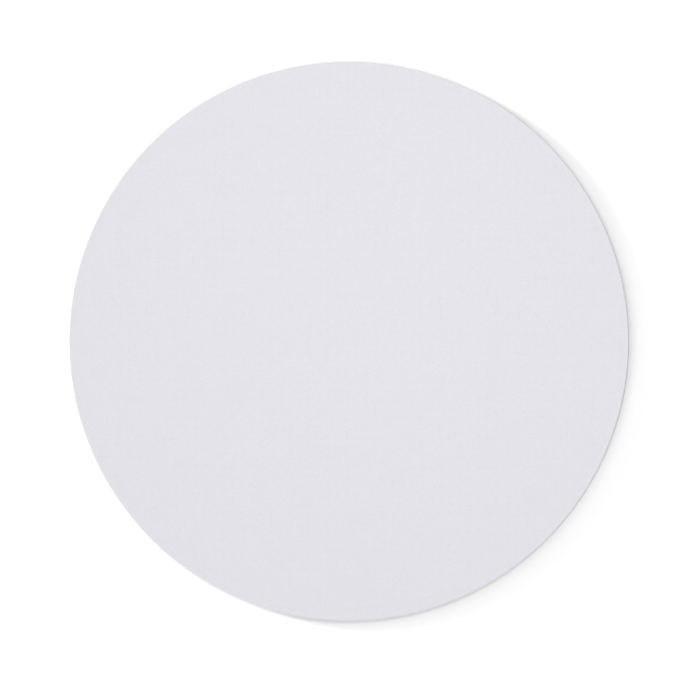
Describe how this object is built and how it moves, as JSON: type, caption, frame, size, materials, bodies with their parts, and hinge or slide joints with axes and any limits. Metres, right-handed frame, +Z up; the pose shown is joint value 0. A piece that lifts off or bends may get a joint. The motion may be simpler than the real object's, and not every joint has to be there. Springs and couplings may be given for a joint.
{
  "type": "mouse pad",
  "caption": "Round flat mouse pad: a fine white woven cloth face, bonded by an adhesive film to a dark sponge rubber base with a non-slip underside.",
  "frame": {"origin": "middle of the underside, where the pad rests on a desk", "axes": "+Z up out of the desk, through the middle of the round pad; +Y towards the top of the picture"},
  "size_m": [0.2, 0.2, 0.003],
  "materials": {
    "sponge_rubber": "matte foamed rubber with open cells on the cut edge",
    "hot_melt_film": "milky adhesive film, slightly glossy where it is cut",
    "polyester_cloth": "fine matte weave with a soft sheen"
  },
  "bodies": {
    "root": {"rubber_base": "sponge_rubber", "adhesive_film": "hot_melt_film", "face_cloth": "polyester_cloth"}
  },
  "joints": []
}
